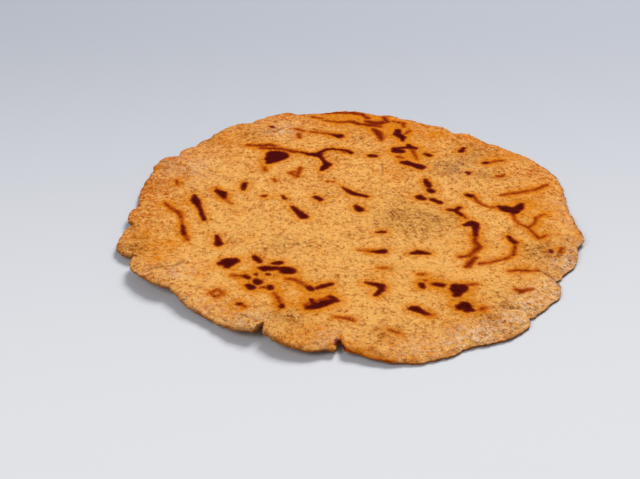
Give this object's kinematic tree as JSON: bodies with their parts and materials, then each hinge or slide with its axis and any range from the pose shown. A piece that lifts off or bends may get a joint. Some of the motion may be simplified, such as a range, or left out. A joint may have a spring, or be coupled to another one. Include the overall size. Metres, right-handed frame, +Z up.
{
  "type": "roti",
  "caption": "Round, thin flatbread with a lobed, split rim, lying flat with its edges curled a little clear of the surface.",
  "frame": {"origin": "middle of the footprint's box, on the surface that the bread lies on", "axes": "+Z up through the bread's thickness, +Y along its longest way across"},
  "size_m": [0.1888, 0.1978, 0.0068],
  "materials": {
    "baked_crust": "dry, matte baked wholemeal crust, speckled with bran, with dark burn spots"
  },
  "bodies": {
    "root": {"roti": "baked_crust"}
  },
  "joints": []
}
